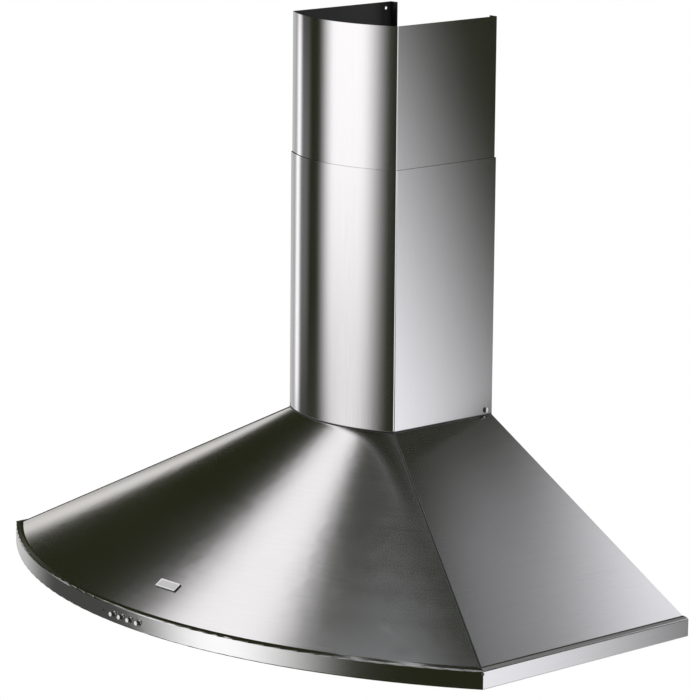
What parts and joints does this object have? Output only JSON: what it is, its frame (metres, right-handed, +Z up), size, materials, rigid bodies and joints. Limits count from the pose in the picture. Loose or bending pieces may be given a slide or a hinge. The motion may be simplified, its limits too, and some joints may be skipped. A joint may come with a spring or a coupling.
{
  "type": "wall mount range hood",
  "caption": "Chimney range hood in satin steel: bowed canopy with a rim, push buttons, hinged grease filters, lamps, centrifugal blower and a telescoping chimney.",
  "frame": {"origin": "on the wall plane, at the middle of the hood, level with the rim's lower edge", "axes": "+X to the hood's right as seen by the cook, +Y into the wall, +Z up"},
  "size_m": [0.9, 0.5048, 0.725],
  "materials": {
    "satin_steel": "satin, brushed",
    "bright_steel": "polished",
    "button_cap": "satin",
    "galvanised": "zinc coated",
    "filter_frame": "satin",
    "filter_mesh": "woven mesh",
    "reflector": "polished",
    "capacitor_case": "plain",
    "black_plastic": "matt",
    "grey_plastic": "matt",
    "wheel_plastic": "matt",
    "transformer_case": "matt",
    "motor_paint": "satin",
    "red_lens": "clear gloss",
    "lamp_glass": "frosted",
    "bulb_glass": "clear"
  },
  "bodies": {
    "hood": {"rim_front": "satin_steel", "rim_left": "satin_steel", "rim_right": "satin_steel", "canopy_front": "satin_steel", "canopy_left": "satin_steel", "canopy_right": "satin_steel", "canopy_back": "galvanised", "canopy_top": "galvanised", "chimney_lower": "satin_steel", "chimney_tabs": "galvanised", "chimney_screws": "bright_steel", "underside_pan": "satin_steel", "switch_block": "black_plastic", "button_bezels": "bright_steel", "pilot_lamp": "red_lens", "blower_scroll": "galvanised", "blower_inlet_side": "galvanised", "blower_motor_side": "galvanised", "motor": "motor_paint", "capacitor": "capacitor_case", "terminal_box": "black_plastic", "terminal_lid": "black_plastic", "lamp_transformer": "transformer_case", "cable_gland": "black_plastic", "outlet_collar": "grey_plastic", "flap_pin": "bright_steel", "lamp_ring_left": "bright_steel", "lamp_glass_left": "lamp_glass", "lamp_reflector_left": "reflector", "lamp_bulb_left": "bulb_glass", "lamp_ring_right": "bright_steel", "lamp_glass_right": "lamp_glass", "lamp_reflector_right": "reflector", "lamp_bulb_right": "bulb_glass"},
    "upper_chimney": {"chimney_upper": "satin_steel"},
    "blower_wheel": {"impeller": "wheel_plastic", "motor_shaft": "bright_steel"},
    "front_flap": {"flap_front": "grey_plastic"},
    "rear_flap": {"flap_rear": "grey_plastic"},
    "push_button_1": {"button_1": "button_cap"},
    "push_button_2": {"button_2": "button_cap"},
    "push_button_3": {"button_3": "button_cap"},
    "push_button_4": {"button_4": "button_cap"},
    "filter_left": {"filter_frame_left": "filter_frame", "filter_mesh_left": "filter_mesh"},
    "latch_left": {"filter_latch_left": "black_plastic"},
    "filter_right": {"filter_frame_right": "filter_frame", "filter_mesh_right": "filter_mesh"},
    "latch_right": {"filter_latch_right": "black_plastic"}
  },
  "joints": [
    {"name": "chimney_slide", "type": "slide", "parent": "hood", "child": "upper_chimney", "axis": [0, 0, 1], "range_m": [-0.17, 0.06]},
    {"name": "wheel_spin", "type": "hinge", "parent": "hood", "child": "blower_wheel", "pos_m": [0.047, -0.084, 0.124], "axis": [1, 0, 0], "continuous": true},
    {"name": "front_flap_hinge", "type": "hinge", "parent": "hood", "child": "front_flap", "pos_m": [0, -0.12, 0.245], "axis": [-1, 0, 0], "range_deg": [0, 75]},
    {"name": "rear_flap_hinge", "type": "hinge", "parent": "hood", "child": "rear_flap", "pos_m": [0, -0.12, 0.245], "axis": [1, 0, 0], "range_deg": [0, 75]},
    {"name": "filter_left_hinge", "type": "hinge", "parent": "hood", "child": "filter_left", "pos_m": [-0.161, -0.033, 0.001], "axis": [1, 0, 0], "range_deg": [0, 70]},
    {"name": "latch_left_slide", "type": "slide", "parent": "filter_left", "child": "latch_left", "axis": [0, 1, 0], "range_m": [0, 0.0035], "stiffness_N_per_m": 400, "springref_m": -0.002},
    {"name": "filter_right_hinge", "type": "hinge", "parent": "hood", "child": "filter_right", "pos_m": [0.161, -0.033, 0.001], "axis": [1, 0, 0], "range_deg": [0, 70]},
    {"name": "latch_right_slide", "type": "slide", "parent": "filter_right", "child": "latch_right", "axis": [0, 1, 0], "range_m": [0, 0.0035], "stiffness_N_per_m": 400, "springref_m": -0.002},
    {"name": "button_1_press", "type": "slide", "parent": "hood", "child": "push_button_1", "axis": [0.0654, 0.9979, 0], "range_m": [0, 0.0025], "stiffness_N_per_m": 600, "springref_m": -0.0015},
    {"name": "button_2_press", "type": "slide", "parent": "hood", "child": "push_button_2", "axis": [0.0419, 0.9991, 0], "range_m": [0, 0.0025], "stiffness_N_per_m": 600, "springref_m": -0.0015},
    {"name": "button_3_press", "type": "slide", "parent": "hood", "child": "push_button_3", "axis": [0.0183, 0.9998, 0], "range_m": [0, 0.0025], "stiffness_N_per_m": 600, "springref_m": -0.0015},
    {"name": "button_4_press", "type": "slide", "parent": "hood", "child": "push_button_4", "axis": [-0.0052, 1, 0], "range_m": [0, 0.0025], "stiffness_N_per_m": 600, "springref_m": -0.0015}
  ]
}
